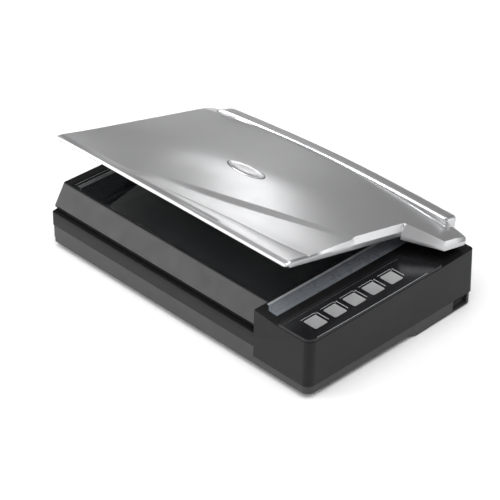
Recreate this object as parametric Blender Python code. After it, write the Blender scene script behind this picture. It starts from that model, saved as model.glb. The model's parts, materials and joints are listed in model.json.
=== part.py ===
"""A large book-edge flatbed scanner, with its lid stored a little open.

X runs along the long side, with the button panel at +X. The book edge is at -Y, the lid's hinges are
at +Y, and the scanner stands on its feet at Z = 0. The pieces of the lid are drawn closed, and an empty
on the hinge axis lifts and turns them into the stored pose.
"""

import math

import bmesh
import bpy
from mathutils import Matrix, Vector

mm = 0.001
GAP = 0.3 * mm

# Base: outline and levels
LEFT, RIGHT = -312 * mm, 312 * mm
FRONT, REAR = -198 * mm, 198 * mm
BOW = 2.5 * mm  # how far the right side bulges past its corners
REAR_SWELL = (2 * mm, 3 * mm)  # how far the rear right corner leans out on its way down
TOP = 117.5 * mm  # glass, deck and control panel
LOW = 111.5 * mm  # deck under the control panel and the lid's ear
PARTING = 25.5 * mm  # joint line of the two shells
FRONT_PARTING = 44 * mm  # the same line along the book edge
BELLY = 10.5 * mm  # underside of the tub's floor
WALL = 2.6 * mm
FLOOR = BELLY + 3 * mm
CEILING = LOW - WALL

# Book edge
EDGE_Y = -167 * mm
SLOPE_FOOT = (-189 * mm, 80 * mm)
BOOK_EDGE_END = 188 * mm

# Glass bed and ruler
GLASS_X = (-296 * mm, 184 * mm)
GLASS_Y = (-162 * mm, 146 * mm)
GLASS_THICK = 3 * mm
WINDOW_X = (-274 * mm, 181 * mm)
WINDOW_Y = (-159.5 * mm, 143 * mm)
STRIP_X = (-284 * mm, -277 * mm)
DECK_REAR = 178 * mm  # behind this the deck is low
RULER_X = (196 * mm, 222 * mm)
RULER_Y = (-181 * mm, 172 * mm)
RULER_PROUD = 0.6 * mm
RULER_SUNK = 0.8 * mm

# Control panel and its buttons
PANEL_X = 241.5 * mm
PANEL_BACK = ((241.5 * mm, 84 * mm), (312 * mm, 114 * mm))
BUTTONS = 5
BUTTON_X = 278 * mm
BUTTON_Y = -151.5 * mm
BUTTON_PITCH = 44.55 * mm
BUTTON_SIDE = 27.5 * mm
BUTTON_TRAVEL = 1.2 * mm

# Lid, closed
LID_BOTTOM = TOP + 0.5 * mm
LID_X = (-307 * mm, 238 * mm)
LID_CORNERS = (5 * mm, 16 * mm, 7 * mm)  # front left, rear left, front right
LID_Y = (-187 * mm, 192 * mm)
CORNER_FLARE = (4 * mm, 3 * mm)
EAR_X = 303 * mm
EAR_Y = (91 * mm, 128 * mm)  # front edge at the lid's side and at the ear's end
EAR_DROP = 5.8 * mm
SHELF_Y = 160 * mm  # behind this the lid's top falls under the hinge cover
CROWN = 9.5 * mm
CROWN_CLIMB = 0.27  # share by which the crown grows behind the middle
BAR_X = (-286 * mm, 270 * mm)
BAR_END_R = 14 * mm
BAR_Y = (166 * mm, 197 * mm)

# Hinges
AXIS_Y = 190 * mm
AXIS_HEIGHT = 7.5 * mm  # above the lid's bottom
OPEN_DEG = 12.9
LIFT = 7 * mm  # the posts stand this far out of their wells
POST_X = (-200 * mm, 190 * mm)
BARREL_R = 5.5 * mm
PIN_R = 2.5 * mm
POCKET = 32 * mm  # width of the lid's pockets round the posts

# Scan carriage and its drive
HOME_X = -238 * mm
CARRIAGE_HALF = 34 * mm
CARRIAGE_Y = (-156 * mm, 140 * mm)
CARRIAGE_Z = (50 * mm, 104 * mm)
ROD_Y, ROD_Z, ROD_R = 156 * mm, 60 * mm, 4 * mm
PULLEY_X = (-290 * mm, 226 * mm)
PULLEY_Y = 177 * mm
BELT_R = 8 * mm
BELT_THICK = 1.4 * mm
BELT_Z = (57 * mm, 63 * mm)

# Ports, near the rear of the right side
PORT_Y = (153.5 * mm, 190 * mm)
PORT_FACE = 302.7 * mm
DC_Y, USB_Y, SWITCH_Y = 160.5 * mm, 172 * mm, 184 * mm
PORT_Z = 19.3 * mm

FEET = [(x * mm, y * mm) for x in (-272, 272) for y in (-165, 165)]


# ---------------------------------------------------------------- helpers

def clear_scene():
    for obj in list(bpy.data.objects):
        bpy.data.objects.remove(obj, do_unlink=True)


def material(name, colour, roughness, metallic=0.0, alpha=1.0):
    made = bpy.data.materials.new(name)
    made.use_nodes = True
    shader = made.node_tree.nodes["Principled BSDF"]
    shader.inputs["Base Color"].default_value = (*colour, 1.0)
    shader.inputs["Roughness"].default_value = roughness
    shader.inputs["Metallic"].default_value = metallic
    shader.inputs["Alpha"].default_value = alpha
    made.diffuse_color = (*colour, alpha)
    return made


def solid(name, mesh, look=None, parent=None):
    """An object holding a bmesh, shaded smooth except along its sharp edges."""
    bmesh.ops.recalc_face_normals(mesh, faces=mesh.faces)
    data = bpy.data.meshes.new(name)
    mesh.to_mesh(data)
    mesh.free()
    data.shade_smooth()
    data.set_sharp_from_angle(angle=math.radians(32))
    obj = bpy.data.objects.new(name, data)
    bpy.context.scene.collection.objects.link(obj)
    if look:
        data.materials.append(look)
    if parent:
        obj.parent = parent
    return obj


def combine(obj, other, operation):
    """Cuts, joins or intersects with another object, which becomes a hidden helper."""
    modifier = obj.modifiers.new(other.name, "BOOLEAN")
    modifier.object = other
    modifier.operation = operation
    other.hide_render = True
    other.display_type = "WIRE"
    if obj.parent:
        other.parent = obj.parent
    return obj


def cut(obj, mesh):
    return combine(obj, solid(obj.name + "_cut", mesh), "DIFFERENCE")


def join(obj, mesh):
    return combine(obj, solid(obj.name + "_join", mesh), "UNION")


def prism(points, low, high, axis="z"):
    """A polygon pushed along an axis. Points are (x, y), (y, z) for axis x, or (x, z) for axis y."""
    place = {
        "z": lambda a, b, c: (a, b, c),
        "x": lambda a, b, c: (c, a, b),
        "y": lambda a, b, c: (a, c, b),
    }[axis]
    mesh = bmesh.new()
    rings = [[mesh.verts.new(place(a, b, c)) for a, b in points] for c in (low, high)]
    count = len(points)
    for i in range(count):
        j = (i + 1) % count
        mesh.faces.new((rings[0][i], rings[0][j], rings[1][j], rings[1][i]))
    mesh.faces.new(rings[0][::-1])
    mesh.faces.new(rings[1])
    return mesh


def box(x, y, z):
    return prism([(x[0], y[0]), (x[1], y[0]), (x[1], y[1]), (x[0], y[1])], z[0], z[1])


def span(centre, size):
    return (centre - size / 2, centre + size / 2)


def arc(centre, radius, start, end, steps):
    """Points on an arc, with angles in degrees."""
    points = []
    for i in range(steps + 1):
        angle = math.radians(start + (end - start) * i / steps)
        points.append((centre[0] + radius * math.cos(angle), centre[1] + radius * math.sin(angle)))
    return points


def rounded(x, y, radius, steps=4):
    """A rectangle with round corners."""
    points = arc((x[0] + radius, y[0] + radius), radius, 180, 270, steps)
    points += arc((x[1] - radius, y[0] + radius), radius, 270, 360, steps)
    points += arc((x[1] - radius, y[1] - radius), radius, 0, 90, steps)
    points += arc((x[0] + radius, y[1] - radius), radius, 90, 180, steps)
    return points


def rod(centre, radius, low, high, axis="z", steps=24):
    return prism(arc(centre, radius, 0, 360 - 360 / steps, steps - 1), low, high, axis)


def field(stations, edges, top, bottom, rows=10):
    """A solid with a flat bottom and a shaped top, over a plan given by its front and rear edge at each x.

    A fine one has a row of points where the lid's top turns down.
    """
    mesh = bmesh.new()
    upper, lower = [], []
    for x in stations:
        near, far = edges(x)
        bend = SHELF_Y if rows > 4 and far > SHELF_Y else near + (far - near) * (1 - 1 / rows)
        ys = [near + (bend - near) * j / (rows - 1) for j in range(rows)] + [far]
        upper.append([mesh.verts.new((x, y, top(x, y))) for y in ys])
        lower.append([mesh.verts.new((x, near, bottom)), mesh.verts.new((x, far, bottom))])
    last = len(stations) - 1
    for i in range(last):
        for j in range(rows):
            mesh.faces.new((upper[i][j], upper[i + 1][j], upper[i + 1][j + 1], upper[i][j + 1]))
        mesh.faces.new((lower[i][0], lower[i + 1][0], upper[i + 1][0], upper[i][0]))
        mesh.faces.new((lower[i][1], upper[i][rows], upper[i + 1][rows], lower[i + 1][1]))
        mesh.faces.new((lower[i][0], lower[i][1], lower[i + 1][1], lower[i + 1][0]))
    mesh.faces.new([lower[0][1], lower[0][0], *upper[0]])
    mesh.faces.new([lower[last][0], lower[last][1], *upper[last][::-1]])
    return mesh


# ---------------------------------------------------------------- shapes of the base

def base_outline(inset):
    """The base seen from above, with its bowed right side."""
    x0, y0, y1 = LEFT + inset, FRONT + inset, REAR - inset
    corner = RIGHT - BOW - inset
    front_r, rear_r, left_r = 14 * mm, 6 * mm, 6 * mm
    points = arc((x0 + left_r, y0 + left_r), left_r, 180, 270, 4)
    points += arc((corner - front_r, y0 + front_r), front_r, 270, 356, 6)
    low, high = y0 + front_r + 2 * mm, y1 - rear_r - 2 * mm
    for i in range(13):
        y = low + (high - low) * i / 12
        points.append((right_side(y) - inset, y))
    points += arc((corner - rear_r, y1 - rear_r), rear_r, 4, 90, 4)
    points += arc((x0 + left_r, y1 - left_r), left_r, 90, 180, 4)
    return points


def right_side(y):
    return RIGHT - BOW * (y / REAR) ** 2


def lean(mesh):
    """Swells the rear corners a little towards the joint line of the shells."""
    for vert in mesh.verts:
        x, y, z = vert.co
        share = min(max((LOW - z) / (LOW - PARTING), 0), 1) * max(y, 0) / REAR
        vert.co.x += REAR_SWELL[0] * share if x > 0 else 0
        vert.co.y += REAR_SWELL[1] * share if y > DECK_REAR else 0
    return mesh


def ramp(x):
    """Level of the deck between the glass and the control panel, where it falls towards the panel."""
    share = (x - GLASS_X[1]) / (PANEL_X - GLASS_X[1])
    return TOP + (LOW - TOP) * min(max(share, 0), 1)


def tilt_to_ramp(mesh):
    for vert in mesh.verts:
        vert.co.z += ramp(vert.co.x)
    return mesh


def ruler_outline(grow):
    """The ruler from above, with its front left corner cut off."""
    x0, x1 = RULER_X[0] - grow, RULER_X[1] + grow
    y0, y1 = RULER_Y[0] - grow, RULER_Y[1] + grow
    clip = 8 * mm
    return [(x0 + clip, y0), (x1, y0), (x1, y1), (x0, y1), (x0, y0 + clip)]


def book_edge_profile():
    """What the book edge takes out of the base, from its end."""
    ledge = 70.4 * mm
    return [
        (-220 * mm, TOP + 20 * mm),
        (EDGE_Y, TOP + 20 * mm),
        (EDGE_Y, TOP - 1 * mm),
        (EDGE_Y - 0.8 * mm, TOP - 3 * mm),
        SLOPE_FOOT,
        (-188 * mm, 76 * mm),
        (-185 * mm, 75 * mm),
        (-185 * mm, ledge + 1 * mm),
        (-197 * mm, ledge),
        (-198.2 * mm, ledge - 6 * mm),
        (-197.2 * mm, FRONT_PARTING + GAP),
        (-190.5 * mm, FRONT_PARTING + GAP),
        (-190.5 * mm, PARTING - 10 * mm),
        (-220 * mm, PARTING - 10 * mm),
    ]


def hollow_profile():
    """The space inside the upper shell behind the book edge, from its end."""
    return [
        (-162.5 * mm, CEILING),
        (-182 * mm, 78 * mm),
        (-182 * mm, 67.8 * mm),
        (-195 * mm, 67 * mm),
        (-194.4 * mm, FRONT_PARTING),
        (-194.4 * mm, PARTING - 10 * mm),
        (REAR + 5 * mm, PARTING - 10 * mm),
        (REAR + 5 * mm, CEILING),
    ]


def button_y(index):
    return BUTTON_Y + index * BUTTON_PITCH


# ---------------------------------------------------------------- base

def top_housing(look):
    housing = solid("top_housing", lean(prism(base_outline(0), PARTING + GAP, LOW)), look)
    deck = [(LEFT, LOW - 5 * mm), (PANEL_X, LOW - 5 * mm), (PANEL_X, LOW), (GLASS_X[1], TOP), (LEFT, TOP)]
    join(housing, prism(deck, FRONT, DECK_REAR, "y"))
    front = prism(book_edge_profile(), LEFT - 20 * mm, BOOK_EDGE_END, "x")
    cut(housing, front)
    low = PARTING - 10 * mm
    within = solid("housing_inner_outline", prism(base_outline(WALL), low - 10 * mm, CEILING + 10 * mm))
    corner_x = (BOOK_EDGE_END + 6 * mm, RIGHT + 5 * mm)
    for space in (prism(hollow_profile(), LEFT - 5 * mm, RIGHT + 5 * mm, "x"),
                  box(corner_x, (FRONT - 5 * mm, -150 * mm), (low, CEILING))):
        cutter = solid("housing_hollow", space)
        combine(cutter, within, "INTERSECT")
        combine(housing, cutter, "DIFFERENCE")
    for x in POST_X:
        join(housing, box(span(x, 22 * mm), (180 * mm, REAR - 1 * mm), (85 * mm, CEILING + 1 * mm)))
    for y in (-165 * mm, 40 * mm):
        join(housing, rod((BUTTON_X, y), 3.5 * mm, 97 * mm, CEILING + 1 * mm, steps=12))
    cut(housing, box(WINDOW_X, WINDOW_Y, (90 * mm, TOP + 10 * mm)))
    glass_x = (GLASS_X[0] - GAP, GLASS_X[1] + GAP)
    glass_y = (GLASS_Y[0] - GAP, GLASS_Y[1] + GAP)
    cut(housing, box(glass_x, glass_y, (TOP - GLASS_THICK - GAP, TOP + 10 * mm)))
    strip_x = (STRIP_X[0] - GAP, STRIP_X[1] + GAP)
    cut(housing, box(strip_x, (WINDOW_Y[0] - GAP, WINDOW_Y[1] + GAP), (TOP - 4.6 * mm, TOP)))
    cut(housing, tilt_to_ramp(prism(ruler_outline(GAP), -RULER_SUNK - GAP, 10 * mm)))
    for x in POST_X:
        cut(housing, box(span(x, 15 * mm), (184 * mm, 195 * mm), (70 * mm, TOP)))
    for i in range(BUTTONS):
        cut(housing, box(span(BUTTON_X, 12 * mm), span(button_y(i), 12 * mm), (CEILING - 5 * mm, TOP)))
    return housing


def bottom_tub(look):
    skin = 1.5 * mm
    tub = solid("bottom_tub", lean(prism(base_outline(skin), BELLY, PARTING)), look)
    wall_x = (LEFT + 4 * mm, BOOK_EDGE_END - 1 * mm)
    join(tub, box(wall_x, (-196.5 * mm, -190.8 * mm), (20 * mm, FRONT_PARTING)))
    skirt = solid("tub_skirt", lean(prism(base_outline(skin), 0.5 * mm, BELLY + 2 * mm)))
    start, end = 45 * mm, REAR + 5 * mm
    side = [(start, BELLY + 4 * mm), (start, BELLY), (62 * mm, 1 * mm), (end, 3 * mm), (end, BELLY + 4 * mm)]
    combine(skirt, solid("skirt_side", prism(side, LEFT - 5 * mm, RIGHT + 5 * mm, "x")), "INTERSECT")
    combine(tub, skirt, "UNION")
    inner = base_outline(skin + WALL)
    cut(tub, prism(inner, FLOOR, 60 * mm))
    cut(tub, box((LEFT + 6 * mm, RIGHT - 12 * mm), (20 * mm, 190.5 * mm), (-10 * mm, BELLY)))
    for x in (LEFT + 6 * mm, 217 * mm):
        join(tub, box(span(x, 5 * mm), span(ROD_Y, 14 * mm), (FLOOR - 1 * mm, 68 * mm)))
    join(tub, rod((PULLEY_X[0], PULLEY_Y), 2 * mm, FLOOR - 1 * mm, 67 * mm, steps=12))
    for x, y in ((232, -150), (294, -150), (232, 70), (294, 70)):
        join(tub, rod((x * mm, y * mm), 3 * mm, FLOOR - 1 * mm, 23.7 * mm, steps=12))
    cut(tub, box((PORT_FACE + GAP, RIGHT + 10 * mm), PORT_Y, (5.3 * mm, PARTING + 10 * mm)))
    slot = box((-262 * mm, -237 * mm), (-110 * mm, -102 * mm), (0, FLOOR + 5 * mm))
    return cut(tub, slot)


def bed(glass, pale, ruler):
    solid("glass_plate", box(GLASS_X, GLASS_Y, (TOP - GLASS_THICK, TOP)), glass)
    top = TOP - GLASS_THICK - GAP
    solid("calibration_strip", box(STRIP_X, WINDOW_Y, (top - 0.9 * mm, top)), pale)
    solid("ruler_strip", tilt_to_ramp(prism(ruler_outline(0), -RULER_SUNK, RULER_PROUD)), ruler)


def panel_outline():
    inset = 0.6 * mm
    (x0, y0), (x1, y1) = PANEL_BACK
    corner, radius = RIGHT - BOW - inset, 14 * mm
    front = FRONT + inset
    points = [(PANEL_X, front)] + arc((corner - radius, front + radius), radius, 270, 356, 6)
    low = front + radius + 2 * mm
    for i in range(9):
        y = low + (y1 - low) * i / 8
        points.append((right_side(y) - inset, y))
    return points + [(x0, y0)]


def control_panel(gloss):
    panel = solid("control_panel", prism(panel_outline(), LOW + GAP, TOP), gloss)
    for i in range(BUTTONS):
        hole = rounded((261.6 * mm, 292.3 * mm), span(button_y(i), 29 * mm), 3.5 * mm, 3)
        cut(panel, prism(hole, 90 * mm, TOP + 5 * mm))
    return panel


def buttons(silver):
    for i in range(BUTTONS):
        y = button_y(i)
        cap = rounded(span(BUTTON_X, BUTTON_SIDE), span(y, BUTTON_SIDE), 3 * mm, 3)
        button = solid(f"button_{i + 1}", prism(cap, LOW + 1.7 * mm, TOP - 0.4 * mm), silver)
        join(button, box(span(BUTTON_X, 8 * mm), span(y, 8 * mm), (103.6 * mm, LOW + 3 * mm)))


def boards(green):
    sheet = box(span(BUTTON_X, 26 * mm), (-180 * mm, 55 * mm), (95 * mm, 96.7 * mm))
    board = solid("button_board", sheet, green)
    for i in range(BUTTONS):
        join(board, box(span(BUTTON_X, 7 * mm), span(button_y(i), 7 * mm), (96 * mm, 102 * mm)))
    main = solid("main_board", box((226 * mm, 300 * mm), (-158 * mm, 78 * mm), (24 * mm, 25.6 * mm)), green)
    for x, y, wide, deep, high in ((262, -60, 28, 28, 3), (258, 10, 20, 14, 2.5), (240, -120, 12, 40, 9),
                                   (285, -110, 12, 12, 14), (285, 40, 16, 26, 8)):
        join(main, box(span(x * mm, wide * mm), span(y * mm, deep * mm), (25 * mm, (25.6 + high) * mm)))


def ports(black, metal, rocker_look):
    top = 25.3 * mm
    sheet = box((PORT_FACE - 2.4 * mm, PORT_FACE), (152.8 * mm, 190.7 * mm), (FLOOR + GAP, top))
    plate = solid("port_plate", sheet, black)
    visor_y = (PORT_Y[0] + GAP, PORT_Y[1] - GAP)
    join(plate, box((PORT_FACE - 1 * mm, 308.4 * mm), visor_y, (top - 1.2 * mm, top)))
    cut(plate, rod((DC_Y, PORT_Z), 3.4 * mm, 290 * mm, 310 * mm, "x", 20))
    cut(plate, box((290 * mm, 310 * mm), span(USB_Y, 9 * mm), span(PORT_Z, 8.2 * mm)))
    cut(plate, box((290 * mm, 310 * mm), span(SWITCH_Y, 9.6 * mm), span(PORT_Z, 9.6 * mm)))
    back, face = 288 * mm, PORT_FACE - 2.4 * mm - GAP
    inlet = solid("dc_inlet", box((back, face), span(DC_Y, 9 * mm), span(PORT_Z, 10 * mm)), black)
    cut(inlet, rod((DC_Y, PORT_Z), 3.1 * mm, back + 2 * mm, 310 * mm, "x", 20))
    join(inlet, rod((DC_Y, PORT_Z), 0.9 * mm, back + 1 * mm, PORT_FACE - 4.7 * mm, "x", 12))
    shell = box((back - 2 * mm, face), span(USB_Y, 11 * mm), span(PORT_Z, 10.4 * mm))
    port = solid("usb_port", shell, metal)
    cut(port, box((back, 310 * mm), span(USB_Y, 8.4 * mm), span(PORT_Z, 7.6 * mm)))
    join(port, box((back - 1 * mm, PORT_FACE - 4.7 * mm), span(USB_Y, 5.6 * mm), span(PORT_Z, 3 * mm)))
    wedge = [(-4.2, -4), (3.6, -4.1), (2.9, 0), (4.6, 4.1), (-4.2, 4)]
    axis_x = PORT_FACE - 2.2 * mm
    wedge = [(x * mm, y * mm) for x, y in wedge]
    rocker = solid("power_switch", prism(wedge, -4.2 * mm, 4.2 * mm), rocker_look)
    rocker.location = (axis_x, SWITCH_Y, PORT_Z)


def underside(rubber, steel, red):
    for i, (x, y) in enumerate(FEET):
        foot = rod((x, y), 9 * mm, 0, BELLY - GAP)
        for vert in foot.verts:
            if vert.co.z < 1 * mm:
                vert.co.x = x + (vert.co.x - x) * 0.85
                vert.co.y = y + (vert.co.y - y) * 0.85
        solid(f"foot_{i + 1}", foot, rubber)
    for i, (x, y) in enumerate(((-300, -120), (-300, 60), (296, -120), (296, 110))):
        head = rod((x * mm, y * mm), 3.2 * mm, BELLY - 2.4 * mm, BELLY - GAP, steps=14)
        solid(f"tub_screw_{i + 1}", head, steel)
    key = box((-261.5 * mm, -249 * mm), (-109.6 * mm, -102.4 * mm), (8.5 * mm, 15 * mm))
    lock = solid("transport_lock", key, red)
    join(lock, box((-270 * mm, -240 * mm), (-116 * mm, -96 * mm), (FLOOR + GAP, FLOOR + 2.4 * mm)))
    join(lock, box((-256 * mm, -253 * mm), (-108 * mm, -104 * mm), (FLOOR + 1 * mm, 24 * mm)))


# ---------------------------------------------------------------- scan carriage and drive

def carriage(black, lamp, mirror, metal, green):
    x = span(HOME_X, 2 * CARRIAGE_HALF)
    body = solid("carriage_housing", box(x, CARRIAGE_Y, CARRIAGE_Z), black)
    join(body, box(span(HOME_X, 44 * mm), (CARRIAGE_Y[1] - 2 * mm, 165.7 * mm), (51 * mm, 69 * mm)))
    inner = (x[0] + WALL, x[1] - WALL)
    cut(body, box(inner, (CARRIAGE_Y[0] + WALL, CARRIAGE_Y[1] - WALL), (40 * mm, CARRIAGE_Z[1] - WALL)))
    cut(body, box(span(HOME_X, 9 * mm), (-152 * mm, 136 * mm), (90 * mm, 120 * mm)))
    cut(body, rod((ROD_Y, ROD_Z), ROD_R + GAP, -300 * mm, -180 * mm, "x"))
    lamp_x = (HOME_X + 6 * mm, HOME_X + 12 * mm)
    lamp_z = (CARRIAGE_Z[1] + GAP, CARRIAGE_Z[1] + 4 * mm)
    solid("lamp_bar", box(lamp_x, (-150 * mm, 134 * mm), lamp_z), lamp)
    for i, (dx, z, angle) in enumerate(((0, 66, 45), (-22, 66, -45), (-20, 92, 40))):
        glass = box((-10 * mm, 10 * mm), (-144 * mm, 128 * mm), (-1.5 * mm, 1.5 * mm))
        plate = solid(f"mirror_{i + 1}", glass, mirror)
        plate.location = (HOME_X + dx * mm, 0, z * mm)
        plate.rotation_euler = (0, math.radians(angle), 0)
    solid("lens_barrel", rod((-8 * mm, 82 * mm), 11 * mm, HOME_X + 8 * mm, HOME_X + 26 * mm, "x"), metal)
    board = box((HOME_X + 28 * mm, HOME_X + 29.6 * mm), (-44 * mm, 28 * mm), (60 * mm, 98 * mm))
    solid("sensor_board", board, green)
    run = PULLEY_Y - BELT_R - BELT_THICK
    clamp = solid("belt_clamp", box(span(HOME_X, 18 * mm), (166 * mm, 173 * mm), (53 * mm, 67 * mm)), black)
    slot = (run - 0.5 * mm, run + BELT_THICK + 0.5 * mm)
    cut(clamp, box((-300 * mm, -180 * mm), slot, (BELT_Z[0] - 0.5 * mm, 80 * mm)))


def belt_loop(radius):
    points = arc((PULLEY_X[1], PULLEY_Y), radius, -90, 90, 10)
    return points + arc((PULLEY_X[0], PULLEY_Y), radius, 90, 270, 10)


def drive(steel, black, brass, rubber):
    solid("guide_rod", rod((ROD_Y, ROD_Z), ROD_R, LEFT + 9 * mm, 214 * mm, "x"), steel)
    rail = [(-151, 13.8), (-139, 13.8), (-139, 16), (-147, 16), (-147, 49.6), (-151, 49.6)]
    solid("support_rail", prism([(y * mm, z * mm) for y, z in rail], -300 * mm, 208 * mm, "x"), steel)
    belt = solid("drive_belt", prism(belt_loop(BELT_R + BELT_THICK), *BELT_Z), rubber)
    cut(belt, prism(belt_loop(BELT_R), 50 * mm, 70 * mm))
    for name, x, bore in (("idler_pulley", PULLEY_X[0], 2.4 * mm), ("motor_pulley", PULLEY_X[1], 1.8 * mm)):
        centre = (x, PULLEY_Y)
        wheel = solid(name, rod((0, 0), BELT_R - 0.4 * mm, -5 * mm, 5 * mm), brass)
        wheel.location = (*centre, (BELT_Z[0] + BELT_Z[1]) / 2)
        for low in (-5 * mm, 3.6 * mm):
            join(wheel, rod((0, 0), 9.6 * mm, low, low + 1.4 * mm))
        cut(wheel, rod((0, 0), bore, -9 * mm, 9 * mm, steps=16))
        for modifier in wheel.modifiers:
            modifier.object.location = wheel.location
    motor = solid("motor", rod((PULLEY_X[1], PULLEY_Y), 14 * mm, FLOOR + GAP, 50 * mm), steel)
    join(motor, rod((PULLEY_X[1], PULLEY_Y), 1.5 * mm, 49 * mm, 66 * mm, steps=12))
    block = box((LEFT + 5 * mm, LEFT + 13 * mm), (-64 * mm, -44 * mm), (30 * mm, 48 * mm))
    sensor = solid("home_sensor", block, black)
    cut(sensor, box((LEFT, LEFT + 20 * mm), (-57 * mm, -51 * mm), (38 * mm, 60 * mm)))


# ---------------------------------------------------------------- lid

def edge_height(x, y):
    """Thickness of the lid without its crown. It is thin in front and swells towards the rear."""
    s = (x - LID_X[0]) / (LID_X[1] - LID_X[0])
    t = min(max((y + 70 * mm) / (110 * mm), 0), 1)
    near = 8 + 4 * s
    far = 10 + 12 * s + 5 * math.sin(math.pi * min(max(s, 0), 1))
    return (near + (far - near) * t * t * (3 - 2 * t)) * mm


def lid_top(x, y):
    """Level of the closed lid's top. Its crown falls towards the front, and climbs a little to the rear."""
    u = (2 * x - LID_X[0] - LID_X[1]) / (LID_X[1] - LID_X[0])
    v = (2 * y - LID_Y[0] - SHELF_Y) / (SHELF_Y - LID_Y[0])
    along = max(1 - v * v, 0) if v < 0 else 1 + CROWN_CLIMB * min(v, 1) ** 2
    crown = CROWN * max(1 - u * u, 0) * along
    fall = 4 * mm * max((y - SHELF_Y) / (LID_Y[1] - SHELF_Y), 0)
    return LID_BOTTOM + edge_height(x, y) + crown - fall


def lid_edges(inset):
    """A function that gives the lid's front and rear edge at an x."""
    front_left, rear_left, front_right = LID_CORNERS
    def ends(x):
        near, far = LID_Y[0] + inset, LID_Y[1] - inset
        near += round_off(x - LID_X[0] - inset, front_left)
        near += round_off(LID_X[1] - inset - x, front_right)
        far -= round_off(x - LID_X[0] - inset, rear_left)
        return near, far
    return ends


def round_off(reach, radius):
    """How far a round corner stands in from its edge, at a distance from the corner's side."""
    short = radius - max(reach, 0)
    return radius - math.sqrt(radius * radius - short * short) if short > 0 else 0


def stations(inset, count):
    """X positions along a lid piece, closer together round its corners."""
    low, high = LID_X[0] + inset, LID_X[1] - inset
    left_r, right_r = LID_CORNERS[1], LID_CORNERS[2]
    points = [low + left_r * (1 - math.cos(math.radians(a))) for a in (0, 15, 30, 45, 67, 90)]
    inner = (low + left_r, high - right_r)
    points += [inner[0] + (inner[1] - inner[0]) * i / count for i in range(1, count + 1)]
    return points + [high - right_r * (1 - math.sin(math.radians(a))) for a in (45, 90)]


def flare(mesh):
    """Draws the lid's front left corner out to a point."""
    for vert in mesh.verts:
        x, y, z = vert.co
        front = max((-100 * mm - y) / (87 * mm), 0) ** 2
        left = max((-200 * mm - x) / (107 * mm), 0)
        vert.co.x -= CORNER_FLARE[0] * front * left
        vert.co.y -= CORNER_FLARE[1] * front * left * left
    return mesh


def ear(inset, side, bottom):
    """The ear of the lid over the rear of the control panel. Its top falls towards its end."""
    slope = (EAR_Y[1] - EAR_Y[0]) / (EAR_X - LID_X[1])
    end, radius = EAR_X - inset, 10 * mm - inset
    near = EAR_Y[0] + inset * 1.15
    rear = LID_Y[1] - 2 * mm - inset
    outline = [(side, near + (side - LID_X[1]) * slope), (end, near + (end - LID_X[1]) * slope)]
    outline += arc((end - radius - 3 * mm, rear - radius), radius, 5, 90, 4) + [(side, rear)]
    mesh = prism(outline, bottom, LID_BOTTOM)
    for vert in mesh.verts:
        if vert.co.z > LID_BOTTOM - 0.1 * mm:
            share = max((vert.co.x - LID_X[1]) / (EAR_X - LID_X[1]), 0)
            vert.co.z = LID_BOTTOM + (21.3 - 11.3 * share) * mm - inset
    return mesh


def lid_cover(look, pivot):
    outside = flare(field(stations(0, 16), lid_edges(0), lid_top, LID_BOTTOM))
    cover = solid("lid_cover", outside, look, pivot)
    join(cover, ear(0, LID_X[1] - WALL, LID_BOTTOM - EAR_DROP))
    under = LID_BOTTOM - 20 * mm
    cut(cover, flare(field(stations(WALL, 16), lid_edges(WALL), lambda x, y: lid_top(x, y) - WALL, under)))
    cut(cover, ear(WALL, LID_X[1], under))
    for x in POST_X:
        cut(cover, box(span(x, POCKET), (170 * mm, 210 * mm), (under, LID_BOTTOM + 60 * mm)))
    return cover


def bar_height(x):
    """Level of the top of the hinge cover, an arch that is lower at the left."""
    share = (x - BAR_X[0]) / (BAR_X[1] - BAR_X[0])
    ends = round_off(x - BAR_X[0], BAR_END_R) / 2 + round_off(BAR_X[1] - x, BAR_END_R / 2) / 2
    return LID_BOTTOM + (20.5 + 11.5 * share + 9 * math.sin(math.pi * share)) * mm - ends


def hinge_cover(look, pivot):
    """A bar along the rear of the lid. Its section is drawn at each station, and follows the lid below."""
    mesh = bmesh.new()
    rings = []
    count = 18
    xs = [BAR_X[0] + (BAR_X[1] - BAR_X[0]) * i / count for i in range(count + 1)]
    xs[1:1] = [BAR_X[0] + BAR_END_R * share for share in (0.15, 0.5)]
    for x in xs:
        top = bar_height(x)
        over_ear = max((x - LID_X[1]) / (EAR_X - LID_X[1]), 0)
        rest = lid_top(min(x, LID_X[1]), BAR_Y[0]) - 11.3 * mm * max(over_ear - 0.1, 0) + GAP
        apron = LID_Y[1] + 1 * mm
        section = [
            (BAR_Y[0], rest), (apron, rest), (apron, LID_BOTTOM + 2 * mm), (BAR_Y[1], LID_BOTTOM + 2 * mm),
            (BAR_Y[1], top - 8 * mm), (BAR_Y[1] - 3 * mm, top - 2 * mm), (BAR_Y[1] - 9 * mm, top),
            (BAR_Y[0] + 8 * mm, top), (BAR_Y[0] + 2 * mm, max(top - 3 * mm, rest + 1.6 * mm)),
            (BAR_Y[0], max(top - 6 * mm, rest + 0.8 * mm)),
        ]
        rings.append([mesh.verts.new((x, y, z)) for y, z in section])
    size = len(rings[0])
    for i in range(len(rings) - 1):
        for j in range(size):
            k = (j + 1) % size
            mesh.faces.new((rings[i][j], rings[i][k], rings[i + 1][k], rings[i + 1][j]))
    mesh.faces.new(rings[0])
    mesh.faces.new(rings[-1][::-1])
    bar = solid("hinge_cover", mesh, look, pivot)
    pocket_z = (LID_BOTTOM - 20 * mm, LID_BOTTOM + 14.2 * mm)
    for x in POST_X:
        cut(bar, box(span(x, POCKET), (AXIS_Y - 20 * mm, 210 * mm), pocket_z))
    return bar


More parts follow.
